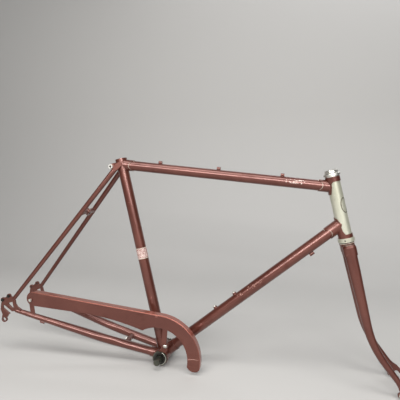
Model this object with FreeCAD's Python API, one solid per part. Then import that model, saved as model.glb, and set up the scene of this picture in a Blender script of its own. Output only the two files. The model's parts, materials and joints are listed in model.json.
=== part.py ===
import FreeCAD, Part
import math
import os

# Lugged steel touring-bicycle frame with its fork, headset, bottom bracket and chainguard.
# The origin is the middle of the bottom bracket axis. +X points forward, +Y to the rider's left
# and +Z up, with the top tube level. Everything is in millimetres.

# ---- frame angles and centre-line lengths ----
seat_angle = 71.5
head_angle = 71.0
seat_tube_length = 518.0      # bottom bracket axis to the top tube centre-line
top_tube_length = 547.0       # seat tube centre-line to the steering axis
head_spacing = 88.0           # top tube centre-line to down tube centre-line, on the steering axis
chainstay_length = 446.0
bracket_drop = 62.0           # rear axle above the bottom bracket axis
rear_spacing = 120.0          # between the rear dropouts' inner faces
front_spacing = 100.0         # between the fork ends' inner faces

# ---- main tubes (outer radii and walls) ----
seat_tube_radius = 14.0
top_tube_radius = 13.0
down_tube_radius = 14.0
steerer_radius = 12.5
head_tube_radius = steerer_radius + 3.5
tube_wall = 0.8
head_tube_wall = 0.9
lug_wall = 1.6

# ---- head tube and seat lug ----
head_above = 25.0             # head tube above the top tube centre-line
head_below = 36.0             # head tube below the down tube centre-line
seat_lug_above = 16.0         # seat lug rim above the top tube centre-line, along the seat tube
seat_lug_below = 17.0
head_collar = 12.0            # plain band of the upper head lug at the front of the head tube
foot_collar = 9.0             # and of the lower one
lug_reach = 38.0              # head lug points from the steering axis
seat_lug_reach = 33.0
lug_scallop = 11.0            # hollow in the side of a lug's edge
binder_slot = 3.0
binder_slot_depth = 34.0
binder_offset = 28.5          # binder bolt behind the seat tube centre-line
binder_drop = 14.5            # binder bolt below the lug's rim
binder_ear_radius = 7.0
binder_ear_width = 8.0
binder_bolt_radius = 3.5
binder_head_radius = 6.0
binder_head_height = 4.5
binder_socket_radius = 2.5

# ---- bottom bracket ----
shell_radius = 20.0
shell_bore = 17.5
shell_width = 68.0
shell_socket = 42.0           # down and seat tube sockets, from the axis
stay_socket = 31.0            # chainstay sockets, from the axis
axle_radius = 8.0
axle_half = 66.0
axle_shoulder = 9.0
axle_neck = 8.5              # between the shoulder and the crank seat
crank_seat_start = 43.5
axle_flat_depth = 3.0
axle_flat_length = 11.0
bracket_ball = 3.175
bracket_ball_count = 11
bracket_ball_place = 27.0     # ball row from the middle
bracket_ball_pitch = 12.2
cup_depth = 16.0
cup_mouth = 11.0
cup_flange_radius = 19.0
cup_flange = 4.0
lockring_radius = 22.5
lockring_width = 4.0
lockring_notches = 8
facing_margin = 0.5           # the shell's ends are faced flat this far beyond the lockring
running_gap = 0.05

# ---- stays ----
chainstay_radius = 11.0
chainstay_tip_radius = 6.2
chainstay_wall = 1.0
chainstay_root_y = 20.6
chainstay_root_z = 3.3
chainstay_bend = (-150.0, 36.0, 21.0)
chainstay_end_ahead = 25.7     # chainstay ends, from the rear axle
chainstay_end_up = 1.6
dimple_start = -93.0
dimple_end = -190.0
dimple_squeeze = 2.6          # how much narrower the stay is beside the tyre
dimple_swell = 0.5            # and how much taller that makes it
seatstay_radius = 7.0
seatstay_tip_radius = 5.3
seatstay_wall = 0.8
seatstay_top_ahead = 2.4      # seatstay tops, from the top of the seat tube
seatstay_top_up = 5.8
seatstay_top_y = 20.5
seatstay_end_ahead = 14.7     # seatstay ends, from the rear axle
seatstay_end_up = 30.0
stay_end_y = 1.2              # both stays' ends, outside the dropouts' inner faces
cap_angle = 27.0
cap_thickness = 1.6
bridge_radius = 6.5
bridge_wall = 1.0
brake_bridge_height = 353.0
brake_boss_radius = 9.0
brake_boss_length = 17.0
brake_bolt_radius = 3.1
stay_bridge_x = -103.0
stay_bridge_z = 16.0

# ---- rear dropouts, placed from the rear axle ----
dropout_thickness = 5.0
axle_slot = 10.0
slot_angle = -30.0
slot_behind = 11.0
slot_ahead = 15.0
eyelet_radius = 6.3
eyelet_hole = 2.5
eyelets_rear = ((-16.0, 25.0), (2.0, 38.5))
hanger_place = (-7.8, -29.4)
hanger_radius = 8.2
hanger_hole = 5.0

# ---- fork, in its own frame: origin at the crown race seat, z up the steering axis ----
steerer_bore = steerer_radius - 1.45
steerer_above = 14.5          # steerer above the head tube
crown_hub_radius = steerer_radius + 4.3
crown_height = 25.0
crown_cap = 4.0
crown_socket_wall = 1.7
tang_length = 11.0
blade_spread_top = 30.5
blade_long = 14.0             # blade half-depth, front to back
blade_wide = 10.0             # blade half-width, side to side
blade_tip = 6.6
blade_wall = 1.0
blade_straight = 186.0
blade_bend_radius = 241.0
blade_bend_angle = 24.5
blade_end_run = 50.0
fork_axle_beyond = 24.0       # front axle beyond the blade's end
fork_end_thickness = 5.0
fork_slot = 9.2
fork_eyelet_place = (-14.5, 6.0)
brake_hole_drop = 13.0

# ---- headset ----
headset_radius = steerer_radius + 7.3   # lower cup and adjustable cup
race_radius = steerer_radius + 4.5      # crown race and upper race
headset_ball = 1.5875
headset_ball_count = 26
headset_ball_pitch = steerer_radius + 1.9
cup_skirt = 9.0
lower_cup_height = 10.0
lower_stack = 14.0            # head tube to the crown race seat
upper_race_height = 2.2
top_race_top = 9.0
top_washer = 1.2
locknut_height = 6.3
locknut_radius = steerer_radius + 3.5
race_groove = 1.2             # height of the race that lifts the balls off the cup's floor

# ---- small brazed fittings ----
bottle_boss_places = (193.0, 257.0)    # along the down tube
boss_radius = 5.0
boss_height = 4.0
m5_radius = 2.5
m5_head_radius = 4.2
m5_head_height = 2.8
guide_shares = (0.1944, 0.4796, 0.7721)   # of the top tube, from the seat tube
guide_radius = 4.0
guide_bore = 2.6
guide_length = 9.0
down_stop_back = 103.4         # cable stop behind the down tube's upper end
stay_stop_x = -338.0
stop_length = 12.0
stop_radius = 4.2
stop_bore = 2.6
cable_bore = 1.0

# ---- chainguard ----
guard_face = -62.2            # outer face of the sheet
guard_sheet = 1.2
guard_flange = 18.0
guard_centre = (0.0, 12.0)
guard_outer = 112.0
guard_inner = 79.0
guard_rear_x = -366.0
guard_rear_radius = 19.5
guard_tip_angle = -5.0
guard_cusp_angle = 126.0
guard_rear_screw = (-373.0, 100.0)
guard_front_screw = (11.0, 35.0)
strap_width = 13.0
strap_thickness = 2.0
arm_thickness = 3.0
arm_tip_radius = 8.0
washer_radius = 6.5
washer_thickness = 1.0

Y_AXIS = FreeCAD.Vector(0, 1, 0)
EACH_SIDE = (("right", -1.0), ("left", 1.0))


def vec(x, y, z):
    return FreeCAD.Vector(x, y, z)


def polar(angle, radius=1.0):
    """A point or direction in the XZ plane, at an angle above +X."""
    turn = math.radians(angle)
    return vec(radius * math.cos(turn), 0, radius * math.sin(turn))


def rod(start, end, radius):
    axis = end.sub(start)
    return Part.makeCylinder(radius, axis.Length, start, axis)


def pipe(start, end, outer, inner):
    return rod(start, end, outer).cut(rod(start, end, inner))


def cross_rod(x, z, low_y, high_y, radius):
    """A round bar along Y."""
    return rod(vec(x, low_y, z), vec(x, high_y, z), radius)


def cross_ring(x, z, low_y, high_y, outer, inner):
    return cross_rod(x, z, low_y, high_y, outer).cut(cross_rod(x, z, low_y, high_y, inner))


def side_plate(points, low_y, high_y):
    """A flat plate whose outline is given in the XZ plane."""
    corners = [vec(x, low_y, z) for x, z in points]
    outline = Part.makePolygon(corners + corners[:1])
    return Part.Face(outline).extrude(vec(0, high_y - low_y, 0))


def stadium(start, end, radius, low_y, high_y):
    """A straight slot or strap with round ends, seen from the side."""
    run = vec(end[0] - start[0], 0, end[1] - start[1])
    across = vec(-run.z, 0, run.x).normalize() * radius
    corners = [(start[0] + across.x, start[1] + across.z), (end[0] + across.x, end[1] + across.z),
               (end[0] - across.x, end[1] - across.z), (start[0] - across.x, start[1] - across.z)]
    bar = side_plate(corners, low_y, high_y)
    ends = [cross_rod(x, z, low_y, high_y, radius) for x, z in (start, end)]
    return bar.fuse(ends).removeSplitter()


def turned(profile):
    """A ring or cup turned about Z from (radius, height) corners."""
    corners = [vec(radius, 0, height) for radius, height in profile]
    face = Part.Face(Part.makePolygon(corners + corners[:1]))
    return face.revolve(vec(0, 0, 0), vec(0, 0, 1), 360)


def both_sides(y_low, y_high, side):
    """Limits along Y for a piece that is mirrored from the left to the given side."""
    return (y_low, y_high) if side > 0 else (-y_high, -y_low)


def ball_row(count, pitch, ball, place, axis):
    """A row of loose balls round an axis through a point."""
    spin = FreeCAD.Rotation(vec(0, 0, 1), axis)
    balls = []
    for step in range(count):
        turn = 2 * math.pi * step / count
        offset = spin.multVec(vec(pitch * math.cos(turn), pitch * math.sin(turn), 0))
        balls.append(Part.makeSphere(ball, place.add(offset)))
    return Part.makeCompound(balls)


def save(name, shape):
    shape.exportStep(os.path.join("parts", name + ".step"))


# ---- main lines of the frame ----
origin = vec(0, 0, 0)
seat_up = polar(180 - seat_angle)
head_up = polar(180 - head_angle)
head_forward = vec(head_up.z, 0, -head_up.x)
seat_joint = seat_up * seat_tube_length
head_joint = seat_joint + vec(top_tube_length, 0, 0)
down_joint = head_joint - head_up * head_spacing
down_run = vec(down_joint.x, 0, down_joint.z).normalize()
down_length = down_joint.Length
head_top = head_joint + head_up * head_above
head_bottom = down_joint - head_up * head_below
seat_rim = seat_up * (seat_tube_length + seat_lug_above)
rear_axle = vec(-math.sqrt(chainstay_length ** 2 - bracket_drop ** 2), 0, bracket_drop)
crown_seat = head_bottom - head_up * lower_stack
stay_y = rear_spacing / 2 + stay_end_y
chainstay_end = (rear_axle.x + chainstay_end_ahead, stay_y, rear_axle.z + chainstay_end_up)
seatstay_end = (rear_axle.x + seatstay_end_ahead, stay_y, rear_axle.z + seatstay_end_up)
seatstay_top = (seat_joint.x + seatstay_top_ahead, seatstay_top_y, seat_joint.z + seatstay_top_up)

FORK = FreeCAD.Placement(crown_seat, FreeCAD.Rotation(Y_AXIS, head_angle - 90))
HEAD_TOP = FreeCAD.Placement(head_top, FreeCAD.Rotation(Y_AXIS, head_angle - 90))


def placed(shape, placement):
    moved = shape.copy()
    moved.Placement = placement
    return moved


def head_frame(points):
    """Side-view corners given along and across the steering axis, from the fork's origin."""
    corners = []
    for forward, up in points:
        place = crown_seat + head_forward * forward + head_up * up
        corners.append((place.x, place.z))
    return corners


# ---- solid envelopes that neighbours are cut by ----
shell_solid = cross_rod(0, 0, -2 * shell_width, 2 * shell_width, shell_radius)
seat_solid = rod(origin, seat_rim, seat_tube_radius)
head_solid = rod(head_bottom, head_top, head_tube_radius)
top_solid = rod(seat_joint, head_joint, top_tube_radius)
down_solid = rod(origin, down_joint, down_tube_radius)


def binder_slot_cut():
    """The saw cut at the back of the seat cluster that lets it close on the seat post."""
    slot_foot = seat_rim - seat_up * binder_slot_depth
    back = polar(180 - seat_angle + 90)
    rim = seat_rim + seat_up
    corners = [(slot_foot.x, slot_foot.z), (rim.x, rim.z),
               (rim.x + back.x * 50, rim.z + back.z * 50),
               (slot_foot.x + back.x * 50, slot_foot.z + back.z * 50)]
    return side_plate(corners, -binder_slot / 2, binder_slot / 2)


def make_main_tubes():
    seat_bore = rod(origin, seat_rim, seat_tube_radius - tube_wall)
    save("seat_tube", seat_solid.cut([seat_bore, shell_solid, binder_slot_cut()]))
    top_bore = rod(seat_joint, head_joint, top_tube_radius - tube_wall)
    save("top_tube", top_solid.cut([top_bore, seat_solid, head_solid]))
    down_bore = rod(origin, down_joint, down_tube_radius - tube_wall)
    save("down_tube", down_solid.cut([down_bore, shell_solid, seat_solid, head_solid]))
    head_bore = rod(head_bottom, head_top, head_tube_radius - head_tube_wall)
    save("head_tube", head_solid.cut(head_bore))


def lug_socket(start, run, reach, tube_radius):
    """A tube socket whose edge has a point above and below and a hollow at each side."""
    end = start + run * reach
    sleeve = rod(start, end, tube_radius + lug_wall)
    hollow = cross_rod(end.x, end.z, -60, 60, lug_scallop)
    return sleeve.cut(hollow)


def make_head_lugs():
    head_length = head_above + head_spacing + head_below
    foot = lower_stack
    top = foot + head_length
    joint = top - head_above
    sleeve = rod(head_bottom, head_top, head_tube_radius + lug_wall)
    wide = head_tube_radius + 2 * lug_wall
    under = joint - top_tube_radius - 2 * lug_wall
    upper_side = head_frame([(-wide, top), (wide, top), (wide, top - head_collar),
                             (-2.0, top - head_collar), (-6.5, top - head_collar - 4.0),
                             (-9.0, joint - 6.0), (-12.0, under), (-wide, under)])
    upper_band = sleeve.common(side_plate(upper_side, -40, 40))
    upper_socket = lug_socket(head_joint, vec(-1, 0, 0), lug_reach, top_tube_radius)
    upper = upper_band.fuse(upper_socket).cut([head_solid, top_solid])
    save("upper_head_lug", upper.removeSplitter())

    crotch = foot + head_below + 18.0
    lower_side = head_frame([(-wide, foot), (wide, foot), (wide, foot + foot_collar),
                             (0.0, foot + foot_collar), (-5.0, foot + foot_collar + 9.0),
                             (-7.5, crotch - 14.0), (-11.5, crotch - 6.0), (-wide, crotch)])
    lower_band = sleeve.common(side_plate(lower_side, -40, 40))
    lower_socket = lug_socket(down_joint, down_run * -1, lug_reach + 6.0, down_tube_radius)
    foot_trim = rod(head_bottom, head_bottom - head_up * 30, 60)
    lower = lower_band.fuse(lower_socket).cut([head_solid, down_solid, foot_trim])
    save("lower_head_lug", lower.removeSplitter())


def binder_centre():
    back = polar(180 - seat_angle + 90)
    return seat_rim - seat_up * binder_drop + back * binder_offset


def make_seat_lug():
    foot = seat_rim - seat_up * (seat_lug_above + seat_lug_below)
    sleeve = rod(foot, seat_rim, seat_tube_radius + lug_wall)
    socket = lug_socket(seat_joint, vec(1, 0, 0), seat_lug_reach, top_tube_radius)
    bolt = binder_centre()
    half_ears = binder_slot / 2 + binder_ear_width
    inner = seat_rim - seat_up * binder_drop
    ears = stadium((inner.x, inner.z), (bolt.x, bolt.z), binder_ear_radius, -half_ears, half_ears)
    bolt_hole = cross_rod(bolt.x, bolt.z, -60, 60, binder_bolt_radius)
    rim_trim = rod(seat_rim, seat_rim + seat_up * 40, 60)
    lug = sleeve.fuse([socket, ears])
    lug = lug.cut([seat_solid, top_solid, binder_slot_cut(), bolt_hole, rim_trim])
    save("seat_lug", lug.removeSplitter())

    head_y = -half_ears - binder_head_height
    bolt_end = half_ears + binder_head_height
    head = cross_rod(bolt.x, bolt.z, head_y, -half_ears, binder_head_radius)
    shank = cross_rod(bolt.x, bolt.z, -half_ears, bolt_end, binder_bolt_radius)
    socket_cut = cross_rod(bolt.x, bolt.z, head_y, head_y + 3.0, binder_socket_radius)
    save("seat_binder_bolt", head.fuse(shank).cut(socket_cut).removeSplitter())
    nut = cross_ring(bolt.x, bolt.z, half_ears, bolt_end, binder_head_radius, binder_bolt_radius)
    save("seat_binder_nut", nut)


def ellipse_wire(centre, along, wide, deep):
    """An oval section square to a run; wide lies across Y and deep in the XZ plane."""
    run = vec(along.x, along.y, along.z).normalize()
    across = Y_AXIS - run * run.dot(Y_AXIS)
    across.normalize()
    upward = run.cross(across)
    onto = FreeCAD.Matrix(across.x * wide, upward.x * deep, run.x, centre.x,
                          across.y * wide, upward.y * deep, run.y, centre.y,
                          across.z * wide, upward.z * deep, run.z, centre.z, 0, 0, 0, 1)
    circle = Part.Wire([Part.Circle(vec(0, 0, 0), vec(0, 0, 1), 1).toShape()])
    return circle.transformGeometry(onto)


def lofted(sections):
    return Part.makeLoft([ellipse_wire(*section) for section in sections], True, True)


def ease(value, start, end):
    """Rises smoothly from 0 to 1 between two places."""
    share = min(1.0, max(0.0, (value - start) / (end - start)))
    return share * share * (3 - 2 * share)


def chainstay_sections(side, shrink):
    """Round at the bracket, squeezed beside the tyre and slim at the dropout."""
    root = vec(0, side * chainstay_root_y, chainstay_root_z)
    bend = vec(chainstay_bend[0], side * chainstay_bend[1], chainstay_bend[2])
    end = vec(chainstay_end[0], side * chainstay_end[1], chainstay_end[2])
    fore, aft = bend - root, end - bend
    middle = (dimple_start + dimple_end) / 2
    dimple_steps = [dimple_start + (dimple_end - dimple_start) * step / 8 for step in range(9)]
    sections = []
    for x in [root.x, -45.0] + dimple_steps + [-230.0, -290.0, -350.0, end.x]:
        if x > bend.x:
            place, run = root + fore * (x / fore.x), fore
        else:
            place, run = bend + aft * ((x - bend.x) / aft.x), aft
        squeeze = ease(x, dimple_start, middle) * ease(x, dimple_end, middle)
        taper = max(0.0, (x - dimple_end) / (end.x - dimple_end))
        radius = chainstay_radius + (chainstay_tip_radius - chainstay_radius) * taper
        wide = radius - dimple_squeeze * squeeze
        deep = radius + dimple_swell * squeeze
        sections.append((place, run, wide - shrink, deep - shrink))
    return sections


def chainstay_solid(side):
    return lofted(chainstay_sections(side, 0))


def seatstay_line(side):
    top = vec(seatstay_top[0], side * seatstay_top[1], seatstay_top[2])
    end = vec(seatstay_end[0], side * seatstay_end[1], seatstay_end[2])
    return top, end


def stay_taper(side, shrink):
    """A seatstay's round taper, or its bore when shrunk by the wall."""
    top, end = seatstay_line(side)
    run = top - end
    tip, root = seatstay_tip_radius - shrink, seatstay_radius - shrink
    return lofted([(end, run, tip, tip), (top, run, root, root)])


def dropout_plate(side):
    """One forged dropout: axle slot, window, two eyelets and, on the right, the gear hanger."""
    low, high = both_sides(rear_spacing / 2, rear_spacing / 2 + dropout_thickness, side)
    ax, az = rear_axle.x, rear_axle.z

    def local(points):
        return [(ax + x, az + z) for x, z in points]

    blank = local([(-21, 10), (-19.5, 20), (-13, 29), (0, 41), (13, 37.5), (22.5, 29), (24.5, 20),
                   (31, 12.5), (42, 8), (40, -3.5), (21, -1.0), (14, -3), (11.5, -8.0), (4.5, -14),
                   (0, -23), (-7.8, -26), (-15.5, -26), (-14.5, -16), (-21, -4)])
    plate = side_plate(blank, low, high)
    slot_run = polar(slot_angle)
    slot_start = (ax - slot_run.x * slot_behind, az - slot_run.z * slot_behind)
    slot_finish = (ax + slot_run.x * (slot_ahead + 20), az + slot_run.z * (slot_ahead + 20))
    window = side_plate(local([(0.5, 17.5), (14.5, 24.5), (18.5, 12.0), (23, 6.5), (12, 8)]), low, high)
    cuts = [stadium(slot_start, slot_finish, axle_slot / 2, low - 1, high + 1), window]
    rounds = []
    for x, z in eyelets_rear:
        rounds.append(cross_rod(ax + x, az + z, low, high, eyelet_radius))
        cuts.append(cross_rod(ax + x, az + z, low, high, eyelet_hole))
    if side < 0:
        hx, hz = ax + hanger_place[0], az + hanger_place[1]
        rounds.append(cross_rod(hx, hz, low, high, hanger_radius))
        cuts.append(cross_rod(hx, hz, low, high, hanger_hole))
    else:
        cuts.append(side_plate(local([(-30, -15), (6, -15), (6, -40), (-30, -40)]), low, high))
    return plate.fuse(rounds).cut(cuts).removeSplitter()


def make_rear_triangle():
    lug_envelope = rod(seat_joint - seat_up * 60, seat_rim + seat_up * 5, seat_tube_radius + lug_wall)
    brake_z = brake_bridge_height
    for name, side in EACH_SIDE:
        plate = dropout_plate(side)
        save(name + "_rear_dropout", plate)

        stay = chainstay_solid(side).cut(lofted(chainstay_sections(side, chainstay_wall)))
        save(name + "_chainstay", stay.cut([shell_solid, seat_solid, plate]))

        top, end = seatstay_line(side)
        run = (top - end).normalize()
        outward = vec(0, side, 0)
        slope = math.radians(cap_angle)
        normal = (outward * math.cos(slope) + run * math.sin(slope)).normalize()
        face_point = top - run * 16.0
        slab = Part.makeCylinder(60, cap_thickness, face_point, normal)
        beyond = Part.makeCylinder(60, 80, face_point, normal)
        hollow = stay_taper(side, 0).cut(stay_taper(side, seatstay_wall))
        save(name + "_seatstay", hollow.cut([beyond, lug_envelope, plate]))
        save(name + "_seatstay_cap", stay_taper(side, 0).common(slab).cut(lug_envelope))

    share = (brake_z - seatstay_end[2]) / (seatstay_top[2] - seatstay_end[2])
    brake_x = seatstay_end[0] + share * (seatstay_top[0] - seatstay_end[0])
    half_gap = seatstay_end[1] + share * (seatstay_top[1] - seatstay_end[1])
    bar = cross_ring(brake_x, brake_z, -half_gap, half_gap, bridge_radius, bridge_radius - bridge_wall)
    stay_run = vec(seatstay_top[0] - seatstay_end[0], 0, seatstay_top[2] - seatstay_end[2]).normalize()
    bolt_run = vec(stay_run.z, 0, -stay_run.x)
    middle = vec(brake_x, 0, brake_z)
    boss_start = middle - bolt_run * (brake_boss_length / 2)
    boss_end = middle + bolt_run * (brake_boss_length / 2)
    bridge = bar.fuse(rod(boss_start, boss_end, brake_boss_radius))
    bolt_hole = rod(boss_start, boss_end, brake_bolt_radius)
    stays = [stay_taper(side, 0) for _, side in EACH_SIDE]
    save("brake_bridge", bridge.cut(stays + [bolt_hole]).removeSplitter())

    stays = [chainstay_solid(side) for _, side in EACH_SIDE]
    bar = cross_rod(stay_bridge_x, stay_bridge_z, -chainstay_bend[1], chainstay_bend[1], bridge_radius)
    screw_hole = rod(vec(stay_bridge_x - 10, 0, stay_bridge_z), vec(stay_bridge_x + 10, 0, stay_bridge_z),
                     m5_radius)
    save("chainstay_bridge", bar.cut(stays + [screw_hole]))
    back = stay_bridge_x - bridge_radius
    shank = rod(vec(back, 0, stay_bridge_z), vec(stay_bridge_x + bridge_radius, 0, stay_bridge_z), m5_radius)
    head = rod(vec(back - m5_head_height, 0, stay_bridge_z), vec(back, 0, stay_bridge_z), m5_head_radius)
    save("mudguard_screw", head.fuse(shank).removeSplitter())


def make_bracket_shell():
    half = shell_width / 2
    body = cross_rod(0, 0, -half, half, shell_radius)
    seat_sleeve = rod(origin, seat_up * shell_socket, seat_tube_radius + lug_wall)
    down_sleeve = rod(origin, down_run * shell_socket, down_tube_radius + lug_wall)
    cuts = [seat_solid, down_solid, cross_rod(0, 0, -half, half, shell_bore)]
    sleeves = []
    for _, side in EACH_SIDE:
        start, end = both_sides(half, 2 * half, side)
        cuts.append(cross_rod(0, 0, start, end, lockring_radius + facing_margin))
        stay = chainstay_solid(side)
        cuts.append(stay)
        root = chainstay_sections(side, 0)[0]
        tip = root[0] + root[1] * (stay_socket / root[1].Length)
        sleeves.append(rod(root[0], tip, chainstay_radius + lug_wall))
    shell = body.fuse([seat_sleeve, down_sleeve] + sleeves).cut(cuts)
    save("bottom_bracket_shell", max(shell.Solids, key=lambda piece: piece.Volume))


def turned_along_y(profile, side):
    """A ring turned about Y from (radius, distance) corners, the distance counted outward."""
    ring = turned(profile)
    ring.rotate(origin, vec(1, 0, 0), -90 * side)
    return ring


def make_bottom_bracket():
    half = shell_width / 2
    ball_room = bracket_ball_pitch + bracket_ball + running_gap
    race_wall = bracket_ball_place + bracket_ball + running_gap
    inner_lip = half - cup_depth
    fixed_face = half + arm_thickness + cup_flange
    fixed = [(shell_bore, inner_lip), (shell_bore, half + arm_thickness),
             (cup_flange_radius, half + arm_thickness), (cup_flange_radius, fixed_face),
             (cup_mouth, fixed_face), (cup_mouth, race_wall), (ball_room, race_wall),
             (ball_room, inner_lip)]
    cup = turned_along_y(fixed, -1)
    flats = [Part.makeBox(60, cup_flange, 20, vec(-30, -fixed_face, z)) for z in (17.5, -37.5)]
    save("right_fixed_cup", cup.cut(flats))

    free_face = half + lockring_width + 2.0
    free = [(shell_bore, inner_lip), (shell_bore, free_face), (cup_mouth, free_face),
            (cup_mouth, race_wall), (ball_room, race_wall), (ball_room, inner_lip)]
    cup = turned_along_y(free, 1)
    pin_holes = []
    for step in range(6):
        spot = polar(60 * step, (shell_bore + cup_mouth) / 2)
        pin_holes.append(cross_rod(spot.x, spot.z, free_face - 3, free_face, 1.5))
    save("left_adjustable_cup", cup.cut(pin_holes))

    ring = cross_ring(0, 0, half, half + lockring_width, lockring_radius, shell_bore)
    notches = []
    for step in range(lockring_notches):
        spot = polar(360 * step / lockring_notches, lockring_radius + 0.6)
        notches.append(cross_rod(spot.x, spot.z, half, half + lockring_width, 2.4))
    save("bottom_bracket_lockring", ring.cut(notches))

    collar = bracket_ball_place - bracket_ball - running_gap
    flat_start = axle_half - 5.0 - axle_flat_length
    axle = cross_rod(0, 0, -crank_seat_start, crank_seat_start, axle_neck)
    shoulder_half = bracket_ball_place + bracket_ball + 4.0
    shoulder = cross_rod(0, 0, -shoulder_half, shoulder_half, axle_shoulder)
    races = [cross_rod(0, 0, *both_sides(collar - 5.0, collar, side), bracket_ball_pitch)
             for _, side in EACH_SIDE]
    cotter_cuts = []
    for _, side in EACH_SIDE:
        for start, end in ((crank_seat_start, flat_start), (flat_start, axle_half - 5.0),
                           (axle_half - 5.0, axle_half)):
            races.append(cross_rod(0, 0, *both_sides(start, end, side), axle_radius))
        low, high = both_sides(flat_start, axle_half - 5.0, side)
        flat_z = side * axle_radius - (axle_flat_depth if side > 0 else 12 - axle_flat_depth)
        cotter_cuts.append(Part.makeBox(30, high - low, 12, vec(-15, low, flat_z)))
    save("bottom_bracket_axle", axle.fuse([shoulder] + races).cut(cotter_cuts))
    for name, side in EACH_SIDE:
        row = ball_row(bracket_ball_count, bracket_ball_pitch, bracket_ball,
                       vec(0, side * bracket_ball_place, 0), Y_AXIS)
        save(name + "_bracket_balls", row)


def make_headset():
    room = headset_ball_pitch + headset_ball + running_gap
    skirt = head_tube_radius - head_tube_wall
    steer_gap = steerer_radius + 1.0
    lower_ball = -(lower_cup_height - headset_ball - 2.0)
    roof = lower_ball + headset_ball + running_gap
    lower_cup = turned([(skirt, 0), (skirt, cup_skirt), (steer_gap, cup_skirt), (steer_gap, roof),
                        (room, roof), (room, -lower_cup_height), (headset_radius, -lower_cup_height),
                        (headset_radius, 0)])
    at_bottom = FreeCAD.Placement(head_bottom, HEAD_TOP.Rotation)
    save("lower_head_cup", placed(lower_cup, at_bottom))
    race_top = lower_ball - headset_ball - running_gap
    crown_race = turned([(steerer_radius, -lower_stack), (race_radius, -lower_stack),
                         (race_radius, -lower_cup_height - 0.6),
                         (headset_ball_pitch + 0.8, -lower_cup_height - 0.6),
                         (headset_ball_pitch + 0.8, race_top), (steerer_radius, race_top)])
    save("crown_race", placed(crown_race, at_bottom))
    save("lower_headset_balls", ball_row(headset_ball_count, headset_ball_pitch, headset_ball,
                                         head_bottom + head_up * lower_ball, head_up))

    race_lift = upper_race_height + race_groove
    upper_ball = race_lift + headset_ball + running_gap
    upper_race = turned([(skirt, -cup_skirt), (skirt, 0), (race_radius, 0),
                         (race_radius, upper_race_height), (headset_ball_pitch + 0.8, upper_race_height),
                         (headset_ball_pitch + 0.8, race_lift), (steer_gap, race_lift),
                         (steer_gap, -cup_skirt)])
    save("upper_head_race", placed(upper_race, HEAD_TOP))
    cup_foot = upper_race_height + 0.6
    cup_roof = upper_ball + headset_ball + running_gap
    top_cup = turned([(room, cup_foot), (headset_radius, cup_foot), (headset_radius, top_race_top - 2.0),
                      (headset_radius - 2.0, top_race_top), (steerer_radius, top_race_top),
                      (steerer_radius, cup_roof), (room, cup_roof)])
    save("adjustable_top_cup", placed(top_cup, HEAD_TOP))
    save("upper_headset_balls", ball_row(headset_ball_count, headset_ball_pitch, headset_ball,
                                         head_top + head_up * upper_ball, head_up))
    washer_top = top_race_top + top_washer
    washer = turned([(steerer_radius, top_race_top), (locknut_radius - 1.0, top_race_top),
                     (locknut_radius - 1.0, washer_top), (steerer_radius, washer_top)])
    save("headset_washer", placed(washer, HEAD_TOP))
    nut_top = washer_top + locknut_height
    lip = steerer_bore + 0.4
    nut = turned([(steerer_radius, washer_top), (locknut_radius, washer_top),
                  (locknut_radius, nut_top - 2.0), (locknut_radius - 2.0, nut_top), (lip, nut_top),
                  (lip, steerer_above + 0.2), (steerer_radius, steerer_above + 0.2)])
    flats = []
    for step in range(8):
        corner = vec(locknut_radius - 0.9, -20, washer_top + 1.0)
        flat = Part.makeBox(20, 40, locknut_height - 3.0, corner)
        flat.rotate(origin, vec(0, 0, 1), 45 * step)
        flats.append(flat)
    save("headset_locknut", placed(nut.cut(flats), HEAD_TOP))


def blade_point(distance):
    """Place and direction on a blade's centre-line, in the fork's frame, for the left blade."""
    bend = math.radians(blade_bend_angle)
    bend_length = blade_bend_radius * bend
    total = blade_straight + bend_length + blade_end_run
    if distance < blade_straight:
        forward, down, turn = 0.0, distance, 0.0
    elif distance < blade_straight + bend_length:
        turn = (distance - blade_straight) / blade_bend_radius
        forward = blade_bend_radius * (1 - math.cos(turn))
        down = blade_straight + blade_bend_radius * math.sin(turn)
    else:
        run = distance - blade_straight - bend_length
        turn = bend
        forward = blade_bend_radius * (1 - math.cos(bend)) + run * math.sin(bend)
        down = blade_straight + blade_bend_radius * math.sin(bend) + run * math.cos(bend)
    spread_end = (front_spacing + fork_end_thickness) / 2 - 1.0
    out = (spread_end - blade_spread_top) * distance / total
    slope = (spread_end - blade_spread_top) / total
    place = vec(forward, blade_spread_top + out, -down)
    heading = vec(math.sin(turn), slope, -math.cos(turn))
    return place, heading, total


def blade_loft(side, shrink):
    """Oval at the crown, round and slim at the tip."""
    total = blade_point(0)[2]
    bend_end = total - blade_end_run
    bend_steps = [blade_straight + (bend_end - blade_straight) * step / 9 for step in range(10)]
    stations = [crown_cap, 60.0, 125.0] + bend_steps + [total]
    sections = []
    for distance in stations:
        place, heading, _ = blade_point(distance)
        share = max(0.0, (distance - 40.0) / (total - 40.0))
        deep = blade_long + (blade_tip - blade_long) * share ** 0.9
        wide = blade_wide + (blade_tip - blade_wide) * share
        place.y *= side
        heading.y *= side
        sections.append((place, heading, wide - shrink, deep - shrink))
    return lofted(sections)


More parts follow.
